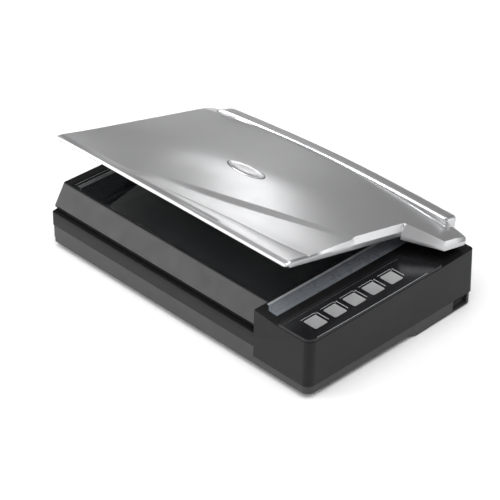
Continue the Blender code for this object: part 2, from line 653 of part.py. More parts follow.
def badge(look, pivot):
    """A blank oval plate that leans with the lid's crown."""
    centre = ((LID_X[0] + LID_X[1]) / 2 + 6 * mm, -13 * mm)
    half_x, half_y = 40.5 * mm, 17 * mm
    oval = [(centre[0] + half_x * math.cos(a), centre[1] + half_y * math.sin(a))
            for a in (2 * math.pi * i / 40 for i in range(40))]
    step = 5 * mm
    across = (lid_top(centre[0] + step, centre[1]) - lid_top(centre[0] - step, centre[1])) / (2 * step)
    along = (lid_top(centre[0], centre[1] + step) - lid_top(centre[0], centre[1] - step)) / (2 * step)
    low = lid_top(*centre) + 0.4 * mm
    plate = prism(oval, low, low + 1.2 * mm)
    for vert in plate.verts:
        vert.co.z += across * (vert.co.x - centre[0]) + along * (vert.co.y - centre[1])
    solid("badge", plate, look, pivot)


def lid_frame(black, pale, rubber, pivot):
    inset = WALL + 0.6 * mm
    low, high = LID_BOTTOM + 0.4 * mm, LID_BOTTOM + 5 * mm
    edges = lid_edges(inset)
    shorter = lambda x: (edges(x)[0], edges(x)[1] - 3 * mm)
    mesh = field(stations(inset, 4), shorter, lambda x, y: high, low, 2)
    frame = solid("lid_frame", mesh, black, pivot)
    for x in POST_X:
        cut(frame, box(span(x, 26 * mm), (157 * mm, 200 * mm), (low - 5 * mm, high + 5 * mm)))
    bottom = LID_BOTTOM - EAR_DROP + GAP
    cover = ear(WALL + 0.4 * mm, LID_X[1] + 0.4 * mm, bottom)
    for vert in cover.verts:
        vert.co.z = min(vert.co.z, bottom + 2 * mm)
    solid("ear_plate", cover, black, pivot)
    mat_x, mat_y = (-288 * mm, 196 * mm), (-172 * mm, 150 * mm)
    pocket = box(mat_x, mat_y, (low - 5 * mm, high - 1.6 * mm))
    cut(frame, pocket)
    mat = rounded((mat_x[0] + 1 * mm, mat_x[1] - 1 * mm), (mat_y[0] + 1 * mm, mat_y[1] - 1 * mm), 4 * mm)
    solid("document_mat", prism(mat, low, high - 1.6 * mm - GAP), pale, pivot)
    for i, x in enumerate((-296 * mm, 222 * mm)):
        y = -160 * mm
        cut(frame, rod((x, y), 4.3 * mm, low - 5 * mm, low + 2.3 * mm, steps=16))
        bumper = rod((x, y), 4 * mm, LID_BOTTOM - 0.2 * mm, low + 2 * mm, steps=16)
        solid(f"lid_bumper_{i + 1}", bumper, rubber, pivot)


def hinges(steel, dark, pivot):
    z = LID_BOTTOM + AXIS_HEIGHT
    rest_z = z + LIFT
    for side, x in zip(("left", "right"), POST_X):
        barrel = rod((AXIS_Y, rest_z), BARREL_R, x - 7 * mm, x + 7 * mm, "x")
        post = solid(f"hinge_post_{side}", barrel, dark)
        join(post, box(span(x, 14 * mm), (184.6 * mm, 194.6 * mm), (78 * mm, rest_z)))
        cut(post, rod((AXIS_Y, rest_z), PIN_R + GAP, x - 20 * mm, x + 20 * mm, "x"))
        solid(f"hinge_pin_{side}", rod((AXIS_Y, z), PIN_R, x - 11 * mm, x + 11 * mm, "x"), steel, pivot)
        plate = box(span(x, 20 * mm), (159 * mm, 180 * mm), (z - 0.5 * mm, z + 1.8 * mm))
        bracket = solid(f"hinge_bracket_{side}", plate, steel, pivot)
        for cheek in ((x - 10 * mm, x - 7.6 * mm), (x + 7.6 * mm, x + 10 * mm)):
            ear = arc((AXIS_Y, z), 5 * mm, -90, 90, 8) + [(160 * mm, z + 1.8 * mm), (160 * mm, z - 2 * mm)]
            join(bracket, prism(ear, *cheek, "x"))
        cut(bracket, rod((AXIS_Y, z), PIN_R + GAP, x - 20 * mm, x + 20 * mm, "x"))


def lid_pivot():
    """An empty on the hinge axis that takes the closed lid to its stored pose."""
    pivot = bpy.data.objects.new("lid_pivot", None)
    bpy.context.scene.collection.objects.link(pivot)
    closed = Vector((0, AXIS_Y, LID_BOTTOM + AXIS_HEIGHT))
    lift = Matrix.Translation(closed + Vector((0, 0, LIFT)))
    turn = Matrix.Rotation(math.radians(-OPEN_DEG), 4, "X")
    pivot.matrix_world = lift @ turn @ Matrix.Translation(-closed)
    return pivot


def main():
    clear_scene()
    black = material("black plastic", (0.03, 0.03, 0.032), 0.42)
    tub = material("tub plastic", (0.05, 0.05, 0.052), 0.5)
    gloss = material("gloss panel", (0.012, 0.012, 0.013), 0.12)
    silver = material("silver paint", (0.6, 0.6, 0.61), 0.35, 0.6)
    grey = material("grey ruler", (0.14, 0.15, 0.17), 0.4)
    glass = material("glass", (0.02, 0.02, 0.022), 0.03, 0.0, 0.35)
    pale = material("pale plastic", (0.75, 0.75, 0.74), 0.6)
    steel = material("steel", (0.6, 0.6, 0.6), 0.3, 1.0)
    brass = material("brass", (0.7, 0.55, 0.25), 0.3, 1.0)
    rubber = material("rubber", (0.02, 0.02, 0.02), 0.8)
    green = material("circuit board", (0.02, 0.16, 0.06), 0.5)
    mirror = material("mirror", (0.85, 0.87, 0.9), 0.05, 1.0)
    lamp = material("lamp", (0.85, 0.88, 0.9), 0.3)
    red = material("lock", (0.45, 0.06, 0.05), 0.45)

    top_housing(black)
    bottom_tub(tub)
    bed(glass, pale, grey)
    control_panel(gloss)
    buttons(silver)
    boards(green)
    ports(black, steel, gloss)
    underside(rubber, steel, red)
    carriage(black, lamp, mirror, steel, green)
    drive(steel, black, brass, rubber)

    pivot = lid_pivot()
    lid_cover(silver, pivot)
    hinge_cover(silver, pivot)
    badge(silver, pivot)
    lid_frame(black, pale, rubber, pivot)
    hinges(steel, black, pivot)


main()
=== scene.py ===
"""The visual model of a large book-edge flatbed scanner, built around its CAD frame.

Lengths are in metres. The pieces of the lid are drawn with the lid closed, and are then carried to
the pose that they rest in.
"""

import json
import math

import bmesh
import bpy
from mathutils import Matrix, Vector


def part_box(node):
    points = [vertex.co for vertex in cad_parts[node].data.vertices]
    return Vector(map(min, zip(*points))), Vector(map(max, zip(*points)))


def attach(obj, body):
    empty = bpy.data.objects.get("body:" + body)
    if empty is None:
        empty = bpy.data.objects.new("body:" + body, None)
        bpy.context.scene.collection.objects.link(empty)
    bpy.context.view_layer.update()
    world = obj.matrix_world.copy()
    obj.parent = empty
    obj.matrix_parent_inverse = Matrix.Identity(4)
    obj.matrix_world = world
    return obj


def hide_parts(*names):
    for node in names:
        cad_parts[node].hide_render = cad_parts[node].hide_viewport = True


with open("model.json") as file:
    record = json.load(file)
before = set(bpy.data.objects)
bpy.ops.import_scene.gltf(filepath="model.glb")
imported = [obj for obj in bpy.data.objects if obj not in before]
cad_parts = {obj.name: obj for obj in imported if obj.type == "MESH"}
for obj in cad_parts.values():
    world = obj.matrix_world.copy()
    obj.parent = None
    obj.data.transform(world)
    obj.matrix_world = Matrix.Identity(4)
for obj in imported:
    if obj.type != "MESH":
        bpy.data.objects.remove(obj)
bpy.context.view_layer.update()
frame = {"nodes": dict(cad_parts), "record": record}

mm = 0.001

# The lid at rest is lifted on its posts and turned about its hinge axis
AXIS_CLOSED = Vector((0, 190 * mm, 125.5 * mm))
LIFT = Vector((0, 0, 7 * mm))
OPEN = Matrix.Rotation(math.radians(-12.9), 4, "X")
LID_REST = Matrix.Translation(AXIS_CLOSED + LIFT) @ OPEN @ Matrix.Translation(-AXIS_CLOSED)


def closed_box(node):
    """The lowest and highest corners of a node of the lid, with the lid closed."""
    back = LID_REST.inverted()
    points = [back @ v.co for v in frame["nodes"][node].data.vertices]
    low = Vector([min(p[k] for p in points) for k in range(3)])
    high = Vector([max(p[k] for p in points) for k in range(3)])
    return low, high


# ---------------------------------------------------------------- materials

class Nodes:
    """The nodes of one material, with short ways to add and join them."""

    def __init__(self, name):
        self.material = bpy.data.materials.new(name)
        self.material.use_nodes = True
        self.tree = self.material.node_tree
        self.shader = self.tree.nodes["Principled BSDF"]
        self.place = self.tree.nodes.new("ShaderNodeTexCoord").outputs["Object"]

    def add(self, kind, **settings):
        node = self.tree.nodes.new("ShaderNode" + kind)
        for key, value in settings.items():
            setattr(node, key, value)
        return node

    def put(self, socket, value):
        if isinstance(value, bpy.types.NodeSocket):
            self.tree.links.new(value, socket)
        else:
            socket.default_value = value

    def noise(self, size, detail=2.0, rough=0.5, stretch=None, shift=0.0):
        """Noise of about 0 to 1 whose lumps are size across."""
        place = self.place
        if stretch or shift:
            mapping = self.add("Mapping")
            self.put(mapping.inputs["Vector"], place)
            mapping.inputs["Scale"].default_value = stretch or (1, 1, 1)
            mapping.inputs["Location"].default_value = (shift, shift, shift)
            place = mapping.outputs["Vector"]
        made = self.add("TexNoise")
        self.put(made.inputs["Vector"], place)
        made.inputs["Scale"].default_value = 1 / size
        made.inputs["Detail"].default_value = detail
        made.inputs["Roughness"].default_value = rough
        return made.outputs["Fac"]

    def spread(self, value, low, high, start=0.3, end=0.7):
        """Stretches the part of a value from start to end over the range from low to high."""
        made = self.add("MapRange")
        self.put(made.inputs["Value"], value)
        names = ("From Min", "From Max", "To Min", "To Max")
        for name, number in zip(names, (start, end, low, high)):
            made.inputs[name].default_value = number
        return made.outputs["Result"]

    def maths(self, operation, a, b):
        made = self.add("Math", operation=operation)
        self.put(made.inputs[0], a)
        self.put(made.inputs[1], b)
        return made.outputs[0]

    def mix(self, share, a, b, blend="MIX"):
        made = self.add("Mix", data_type="RGBA", blend_type=blend)
        self.put(made.inputs["Factor"], share)
        for socket, value in ((made.inputs[6], a), (made.inputs[7], b)):
            self.put(socket, (*value, 1) if isinstance(value, tuple) and len(value) == 3 else value)
        return made.outputs[2]

    def worn_edges(self, share):
        """The share on sharp outward edges, broken up by noise, and 0 elsewhere."""
        sharp = self.spread(self.add("NewGeometry").outputs["Pointiness"], 0, 1, 0.52, 0.62)
        patchy = self.spread(self.noise(9 * mm), 0.2, 1)
        return self.maths("MULTIPLY", self.maths("MULTIPLY", sharp, patchy), share)

    def bump(self, height, depth, under=None):
        made = self.add("Bump")
        self.put(made.inputs["Height"], height)
        made.inputs["Strength"].default_value = 1.0
        made.inputs["Distance"].default_value = depth
        if under is not None:
            self.put(made.inputs["Normal"], under)
        return made.outputs["Normal"]


def scaled(colour, by):
    return tuple(min(c * by, 1) for c in colour)


def surface(name, colour, roughness, metallic=0.0, grain=0.5 * mm, depth=0.012 * mm, mottle=0.1,
            scuff=0.06, edge=1.6, coat=0.0, flake=0.0, smooth_top=None, waves=0.0, **shader):
    """A material with uneven colour, fine grain, smudges in its gloss and lighter worn edges.

    grain and depth are the size and height of its fine bumps, mottle the spread of its colour,
    scuff that of its roughness, edge how light its worn edges are, flake how much a paint's
    flakes differ, smooth_top the roughness of faces that look up, and waves the depth of a wide
    unevenness. What else is given is set on the shader.
    """
    n = Nodes(name)
    wide = n.spread(n.noise(70 * mm, 3.0, 0.55), 0, 1)
    colour_out = n.mix(wide, scaled(colour, 1 - mottle), scaled(colour, 1 + mottle))
    fine = n.noise(grain, 2.0, 0.6)
    if flake:
        speck = n.spread(n.noise(grain * 0.6, 1.0, 0.5, shift=3.1), 1 - flake, 1 + flake)
        grey = n.add("CombineColor")
        for socket in grey.inputs[:3]:
            n.put(socket, speck)
        colour_out = n.mix(1.0, colour_out, grey.outputs[0], "MULTIPLY")
    if edge != 1.0:
        colour_out = n.mix(n.worn_edges(0.5), colour_out, scaled(colour, edge))
    n.put(n.shader.inputs["Base Color"], colour_out)
    gloss = n.spread(n.noise(26 * mm, 4.0, 0.65, shift=1.7), roughness - scuff, roughness + scuff)
    if smooth_top is not None:
        up = n.add("SeparateXYZ")
        n.put(up.inputs[0], n.add("NewGeometry").outputs["Normal"])
        share = n.spread(up.outputs["Z"], 0, 1, 0.9, 0.98)
        drop = n.maths("MULTIPLY", share, roughness - smooth_top)
        gloss = n.maths("SUBTRACT", gloss, drop)
    n.put(n.shader.inputs["Roughness"], gloss)
    normal = n.bump(fine, depth)
    if waves:
        normal = n.bump(n.noise(45 * mm, 1.0, 0.4, shift=5.3), waves, normal)
    n.put(n.shader.inputs["Normal"], normal)
    n.shader.inputs["Metallic"].default_value = metallic
    n.shader.inputs["Coat Weight"].default_value = coat
    for key, value in shader.items():
        n.shader.inputs[key.replace("_", " ").title().replace("Ior", "IOR")].default_value = value
    return n.material


def brushed(name, colour, roughness, stretch):
    """Metal with fine lines along its length."""
    n = Nodes(name)
    lines = n.noise(0.5 * mm, 2.0, 0.5, stretch=stretch)
    tone = n.mix(n.spread(lines, 0, 1), scaled(colour, 0.86), scaled(colour, 1.06))
    tone = n.mix(n.worn_edges(0.4), tone, scaled(colour, 1.2))
    n.put(n.shader.inputs["Base Color"], tone)
    n.put(n.shader.inputs["Roughness"], n.spread(lines, roughness * 0.8, roughness * 1.2))
    n.put(n.shader.inputs["Normal"], n.bump(lines, 0.01 * mm))
    n.shader.inputs["Metallic"].default_value = 1.0
    return n.material


def board_look():
    """Green board with lighter copper tracks under its lacquer."""
    n = Nodes("circuit board")
    cells = n.add("TexBrick")
    n.put(cells.inputs["Vector"], n.place)
    pattern = {"Scale": 90.0, "Mortar Size": 0.06, "Brick Width": 0.7, "Row Height": 0.3}
    for name, value in pattern.items():
        cells.inputs[name].default_value = value
    cells.inputs["Color1"].default_value = (0.012, 0.11, 0.045, 1)
    cells.inputs["Color2"].default_value = (0.016, 0.13, 0.055, 1)
    cells.inputs["Mortar"].default_value = (0.05, 0.26, 0.12, 1)
    spots = n.spread(n.noise(3 * mm, 1.0), 0, 1, 0.66, 0.7)
    n.put(n.shader.inputs["Base Color"], n.mix(spots, cells.outputs["Color"], (0.5, 0.45, 0.32)))
    n.put(n.shader.inputs["Roughness"], n.spread(n.noise(8 * mm), 0.3, 0.5))
    n.put(n.shader.inputs["Normal"], n.bump(cells.outputs["Fac"], 0.05 * mm))
    return n.material


def glass_look():
    """Dark glass that shows a little of what is below it, with faint smears."""
    n = Nodes("bed glass")
    tint = n.mix(n.noise(60 * mm, 3.0), (0.004, 0.005, 0.006), (0.009, 0.011, 0.013))
    n.put(n.shader.inputs["Base Color"], tint)
    n.put(n.shader.inputs["Roughness"], n.spread(n.noise(40 * mm, 5.0, 0.7), 0.03, 0.09))
    n.put(n.shader.inputs["Normal"], n.bump(n.noise(90 * mm, 1.0), 0.02 * mm))
    n.shader.inputs["Alpha"].default_value = 0.72
    n.shader.inputs["IOR"].default_value = 1.5
    return n.material


LOOKS = {
    "black_plastic": surface("black plastic", (0.007, 0.007, 0.0075), 0.38, grain=0.6 * mm,
                             scuff=0.025, edge=3.0, smooth_top=0.24, specular_ior_level=0.19),
    "tub_plastic": surface("tub plastic", (0.03, 0.03, 0.031), 0.5, grain=0.8 * mm,
                           depth=0.03 * mm, edge=2.2, specular_ior_level=0.4),
    "gloss_black": surface("gloss panel", (0.008, 0.008, 0.009), 0.4, depth=0.002 * mm, scuff=0.04,
                           edge=4.0, smooth_top=0.2, waves=0.03 * mm, specular_ior_level=0.28),
    "silver_paint": surface("silver paint", (0.58, 0.582, 0.59), 0.32, 0.88, grain=0.7 * mm,
                            depth=0.0012 * mm, mottle=0.015, scuff=0.012, edge=1.2, coat=0.1,
                            flake=0.05, coat_roughness=0.15),
    "badge_silver": brushed("badge metal", (0.66, 0.66, 0.67), 0.3, (0.12, 2.0, 2.0)),
    "ruler_grey": surface("ruler plastic", (0.13, 0.143, 0.16), 0.3, grain=0.4 * mm,
                          depth=0.006 * mm, edge=1.8),
    "glass": glass_look(),
    "pale_plastic": surface("pale plastic", (0.72, 0.72, 0.7), 0.5, edge=1.1),
    "white_mat": surface("document mat", (0.8, 0.8, 0.78), 0.72, grain=1.1 * mm, depth=0.08 * mm,
                         edge=1.0),
    "steel": brushed("steel", (0.56, 0.56, 0.57), 0.3, (0.1, 1.5, 1.5)),
    "brass": brushed("brass", (0.68, 0.5, 0.22), 0.28, (1.5, 1.5, 0.15)),
    "rubber": surface("rubber", (0.018, 0.018, 0.018), 0.78, grain=0.9 * mm, depth=0.05 * mm,
                      edge=1.8),
    "circuit_board": board_look(),
    "mirror": surface("mirror", (0.86, 0.88, 0.9), 0.06, 1.0, depth=0.001 * mm, mottle=0.02,
                      scuff=0.03, edge=1.0),
    "lamp": surface("lamp", (0.82, 0.86, 0.88), 0.25, mottle=0.03, edge=1.0),
    "lock_red": surface("lock red", (0.42, 0.04, 0.035), 0.42, edge=1.5),
}
BUTTON_LOOK = surface("button paint", (0.44, 0.442, 0.448), 0.42, 0.55, grain=0.35 * mm,
                      depth=0.006 * mm, mottle=0.04, edge=1.4, flake=0.1)


def print_look(name, colour, roughness, edge):
    return surface(name, colour, roughness, depth=0.004 * mm, edge=edge)


# Pale print, also used for the painted highlights beside the buttons.
PRINT_AND_HIGHLIGHT = print_look("pale print and highlight", (0.55, 0.56, 0.57), 0.45, 1.0)
DARK_PRINT = print_look("dark print", (0.035, 0.037, 0.04), 0.45, 1.0)
EDGE_STRIP = print_look("pale edge", (0.33, 0.34, 0.36), 0.3, 1.2)
STRIP_LINE = print_look("strip line", (0.15, 0.15, 0.155), 0.3, 1.0)
# Dark grey trim, also used as a painted highlight line on the black panel.
TRIM_AND_HIGHLIGHT = print_look("trim and highlight", (0.075, 0.076, 0.078), 0.25, 1.5)


# ---------------------------------------------------------------- mesh helpers

def smooth(data, angle):
    """Shades a mesh smooth, but for edges sharper than the angle in degrees."""
    data.shade_smooth()
    data.set_sharp_from_angle(angle=math.radians(angle))


def place_object(name, data):
    obj = bpy.data.objects.new(name, data)
    bpy.context.scene.collection.objects.link(obj)
    return obj


def piece(name, mesh, body, slot, place=None, look=None, stands_for=(), angle=32):
    """An object made from a bmesh, that rides on a body and stands for CAD nodes."""
    obj = loose_object(name, mesh, place, angle)
    obj.data.materials.append(look or LOOKS[slot])
    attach(obj, body)
    if stands_for:
        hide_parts(*stands_for)
    return obj


def loose_object(name, mesh, place=None, angle=32):
    """An object made from a bmesh, which is used up."""
    bmesh.ops.recalc_face_normals(mesh, faces=mesh.faces)
    if place is not None:
        mesh.transform(place)
    data = bpy.data.meshes.new(name)
    mesh.to_mesh(data)
    mesh.free()
    smooth(data, angle)
    return place_object(name, data)


def apply_modifiers(obj, angle):
    graph = bpy.context.evaluated_depsgraph_get()
    data = bpy.data.meshes.new_from_object(obj.evaluated_get(graph))
    obj.modifiers.clear()
    obj.data = data
    smooth(data, angle)


def prism(points, low, high):
    """A block with an outline of points, between two levels."""
    mesh = bmesh.new()
    rings = [[mesh.verts.new((x, y, z)) for x, y in points] for z in (low, high)]
    count = len(points)
    for i in range(count):
        j = (i + 1) % count
        mesh.faces.new((rings[0][i], rings[0][j], rings[1][j], rings[1][i]))
    mesh.faces.new(rings[0][::-1])
    mesh.faces.new(rings[1])
    return mesh


def box(x, y, z):
    """A block between two values of each of x, y and z."""
    return prism([(x[0], y[0]), (x[1], y[0]), (x[1], y[1]), (x[0], y[1])], z[0], z[1])


def add_to(mesh, other):
    """Moves what is in the other bmesh into the first."""
    data = bpy.data.meshes.new("spare")
    other.to_mesh(data)
    other.free()
    mesh.from_mesh(data)
    bpy.data.meshes.remove(data)


def join_rings(mesh, rings, ends="closed"):
    """Faces between rings of points, with a face on each end or, for a hoop, back to the start."""
    pairs = list(zip(rings, rings[1:]))
    if ends == "hoop":
        pairs.append((rings[-1], rings[0]))
    for a, b in pairs:
        for j in range(len(a)):
            k = (j + 1) % len(a)
            mesh.faces.new((a[j], a[k], b[k], b[j]))
    if ends == "closed":
        mesh.faces.new(rings[0])
        mesh.faces.new(rings[-1][::-1])
    return mesh


def drop_loose(mesh):
    loose = [v for v in mesh.verts if not v.link_faces]
    bmesh.ops.delete(mesh, geom=loose, context="VERTS")
    return mesh


def bevel(mesh, width, segments=2):
    """Rounds every edge that is sharper than 30 degrees."""
    bmesh.ops.recalc_face_normals(mesh, faces=mesh.faces)
    limit = math.radians(30)
    edges = [e for e in mesh.edges if len(e.link_faces) == 2 and e.calc_face_angle(0) > limit]
    bmesh.ops.bevel(mesh, geom=edges, offset=width, segments=segments, profile=0.5, affect="EDGES",
                    clamp_overlap=True)
    return mesh


def arc(centre, radius, start, end, steps=6):
    points = []
    for i in range(steps + 1):
        angle = math.radians(start + (end - start) * i / steps)
        points.append((centre[0] + radius * math.cos(angle), centre[1] + radius * math.sin(angle)))
    return points


def rounded(x, y, radius):
    """The outline of a rectangle with round corners."""
    points = arc((x[0] + radius, y[0] + radius), radius, 180, 270)
    points += arc((x[1] - radius, y[0] + radius), radius, 270, 360)
    points += arc((x[1] - radius, y[1] - radius), radius, 0, 90)
    return points + arc((x[0] + radius, y[1] - radius), radius, 90, 180)


def ease(t):
    """Rises smoothly from 0 to 1 as t does."""
    t = min(max(t, 0.0), 1.0)
    return t * t * (3 - 2 * t)


def round_off(reach, radius):
    """How far a round edge falls away, at a distance from where it ends."""
    short = radius - max(reach, 0)
    return radius - math.sqrt(max(radius * radius - short * short, 0)) if short > 0 else 0


def curve(points, x):
    """A smooth curve through points given in millimetres, in metres."""
    last = len(points) - 1
    i = 0
    while i < last - 1 and points[i + 1][0] * mm <= x:
        i += 1

    def slope(k):
        a, b = points[max(k - 1, 0)], points[min(k + 1, last)]
        return (b[1] - a[1]) / (b[0] - a[0])

    (x0, y0), (x1, y1) = points[i], points[i + 1]
    t = min(max((x / mm - x0) / (x1 - x0), 0), 1)
    wide = x1 - x0
    level = (2 * t ** 3 - 3 * t * t + 1) * y0 + (3 * t * t - 2 * t ** 3) * y1
    lean = (t ** 3 - 2 * t * t + t) * slope(i) + (t ** 3 - t * t) * slope(i + 1)
    return (level + lean * wide) * mm


# ---------------------------------------------------------------- lid cover

LID_LOW, LID_HIGH = closed_box("lid_cover")
BOTTOM = 118 * mm  # level of the lid's foot
LEFT, SIDE, END = -307 * mm, 238 * mm, LID_HIGH.x  # the lid's left and right, and the ear's end
FRONT, REAR = -187 * mm, LID_HIGH.y
SHELF = 160 * mm  # where the top starts to fall towards the hinge
EAR_FRONT, EAR_SLOPE = 91 * mm, 37 / 65  # where the ear's front edge starts, and its slant
EAR_COS = math.cos(math.atan(EAR_SLOPE))
EAR_DROP = BOTTOM - LID_LOW.z
EAR_FALL = 12 * mm
CORNERS = (5 * mm, 16 * mm, 7 * mm)  # radii at the front left, rear left and front right

# The step between the low front and the high rear of the top, and the crease in front of it, both
# as points in millimetres
STEP_LINE = ((-307, -184), (-230, -178), (-150, -174), (-100, -150), (-40, -131), (42, -107),
             (130, -75), (238, -30))
CREASE_LINE = ((-307, -180), (-120, -177), (-70, -171), (75, -154), (172, -146), (238, -136))
STEP_WIDTH = 20 * mm
CREASE_WIDTH, CREASE_HEIGHT = 2.6 * mm, 0.6 * mm
GROOVE_WIDTH, GROOVE_DEPTH = 0.7 * mm, 0.7 * mm
CROWN, CROWN_LOW, CROWN_CLIMB = 9.5 * mm, 0.47, 0.15  # height, and shares of it in front and behind
CROWN_Y, CROWN_REACH = 20 * mm, 140 * mm

RIM_WALL, EAR_WALL = 10 * mm, 3 * mm  # heights of the walls below the chamfer and the facet
CHAMFER_MOST = 4 * mm
CHAMFER_SHARES = (1.0, 0.9, 0.7, 0.45, 0.2, 0.07, 0.0)
WALL_THICKNESS = 1.8 * mm
LIP_FRONT = 3.2 * mm  # how much more of the dark lip shows along the front

POSTS = [sum(c.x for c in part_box(f"hinge_post_{side}")) / 2 for side in ("left", "right")]
SLOT_HALF, SLOT_FRONT = 16 * mm, 170 * mm  # half the width and the front of each post's pocket


def lid_share(x):
    """How far x lies along the lid, from 0 at its left to 1 at its right."""
    return min(max((x - LEFT) / (SIDE - LEFT), 0), 1)


def near_edge(x):
    return FRONT + round_off(x - LEFT, CORNERS[0]) + round_off(SIDE - x, CORNERS[2])


def far_edge(x):
    if x > SIDE:
        return REAR - 2 * mm - round_off(END - x, 10 * mm)
    return REAR - round_off(x - LEFT, CORNERS[1]) - 2 * mm * ease((x - SIDE + 12 * mm) / (12 * mm))


def ear_edge(x):
    return EAR_FRONT + max(x - SIDE, 0) * EAR_SLOPE


def facet_lean(x):
    """How far the facet along the ear's front leans back."""
    return (7 - 3.6 * max(x - SIDE, 0) / (END - SIDE)) * mm


def lid_height(x, y):
    """Height of the lid's top above its foot, before its rims are shaped."""
    s = lid_share(x)
    arch = CROWN * 4 * s * (1 - s)
    v = (2 * y - FRONT - SHELF) / (SHELF - FRONT)
    low = (8 + 2.4 * s) * mm + CROWN_LOW * arch * max(1 - v * v, 0)
    low += 6 * mm * s * ease((y + 140 * mm) / (100 * mm))
    q = min((y - CROWN_Y) / CROWN_REACH, 1)
    high = (10 + 12 * s + 5 * math.sin(math.pi * s)) * mm
    high += arch * (1 - q * q if q < 0 else 1 + CROWN_CLIMB * q * q)
    high -= 4 * mm * max((y - SHELF) / (REAR - SHELF), 0)
    step = curve(STEP_LINE, x)
    high -= 0.55 * arch * (1 - ease((y - step) / CROWN_REACH))
    low += 0.5 * (high - low) * min(max((y - FRONT) / (step - FRONT), 0), 1) ** 1.5
    height = low + (high - low) * ease((y - step) / STEP_WIDTH + 0.5)
    crease = y - curve(CREASE_LINE, x)
    fade = ease((x + 100 * mm) / (90 * mm))
    height += CREASE_HEIGHT * fade * (1 - ease(crease / CREASE_WIDTH + 0.5))
    height -= GROOVE_DEPTH * fade * math.exp(-((crease / GROOVE_WIDTH) ** 2))
    if x > SIDE:
        height -= EAR_FALL * ((x - SIDE) / (END - SIDE)) ** 1.2
    return height


def chamfer_width(y):
    """Width of the chamfer on the lid's right rim: wide in front, thin, then wide past the step."""
    front = 1 - ease((y + 138 * mm) / (5 * mm))
    rear = ease((y + 40 * mm) / (14 * mm))
    return (2.2 + 2.2 * front + 2.6 * rear) * mm


def cover_height(x, y, main):
    """Height of the finished top. Main is true on the lid itself and false on its ear."""
    height = lid_height(x, y)
    if main:
        d = y - near_edge(min(x, SIDE))
        height -= (1.0 + 2.2 * lid_share(x)) * mm * (1 - ease(d / (13 * mm)))
        furrow = math.exp(-(((d - 6.2 * mm) / (0.9 * mm)) ** 2))
        height -= 1.3 * mm * furrow * ease((x + 40 * mm) / (140 * mm))
        height -= round_off(d, 4 * mm)
        height -= 0.7 * round_off(x - LEFT, 5 * mm)
    height -= round_off(far_edge(x) - y, 3 * mm)
    slant = (y - EAR_FRONT - (x - SIDE) * EAR_SLOPE) * EAR_COS
    rim = max(height - RIM_WALL, 0) * (1 - (SIDE - x) / chamfer_width(y)) if main else 1.0
    facet = (height - EAR_WALL) * (1 - slant / facet_lean(x)) if slant > -0.01 * mm else 1.0
    drop = max(min(rim, facet), 0)
    if not main:
        drop = max(drop, (height - 3.2 * mm) * (1 - (END - x) / (4.5 * mm)))
    return height - drop


def between(anchors, counts):
    """Places from the first anchor to the last, with a number of steps between each two."""
    places = []
    for low, high, count in zip(anchors, anchors[1:], counts):
        places += [low + (high - low) * i / count for i in range(count)]
    return places + [anchors[-1]]


def column_rows(x):
    """Y of each point of a column, and the number of the point where the ear's rows start."""
    front = near_edge(x)
    crease, step = curve(CREASE_LINE, x), curve(STEP_LINE, x)
    anchors = [front, front + 1.5 * mm, front + 4.5 * mm, front + 8 * mm]
    for place, gap in ((crease - 1.6 * mm, 1 * mm), (crease + 1.6 * mm, 1 * mm),
                       (step - 11 * mm, 1 * mm), (step + 11 * mm, 6 * mm)):
        anchors.append(max(place, anchors[-1] + gap))
    fore = between(anchors + [EAR_FRONT], (5, 4, 10, 3, 8, 10, 14, 22))
    far = far_edge(x)
    crest = ear_edge(x) + facet_lean(x) / EAR_COS
    anchors = [ear_edge(x), crest, crest + 0.5 * mm, SHELF, SLOT_FRONT, far - 3 * mm, far]
    return fore[:-1] + between(anchors, (4, 1, 13, 3, 6, 5)), len(fore) - 1


def lid_columns():
    """X of each column on the lid, but for those on its right chamfer."""
    columns = [LEFT + e * mm for e in (0, 0.3, 0.8, 1.5, 2.5, 3.7, 5, 7.5, 10, 13, 16)]
    slots = [p + e for p in POSTS for e in (-SLOT_HALF, SLOT_HALF)]
    stops = sorted([columns[-1], SIDE - 16 * mm] + slots)
    counts = [max(round((b - a) / (7 * mm)), 1) for a, b in zip(stops, stops[1:])]
    return columns[:-1] + between(stops, counts) + [SIDE - e * mm for e in (12, 9, 7)]


def over_post(x):
    return any(abs(x - p) < SLOT_HALF for p in POSTS)


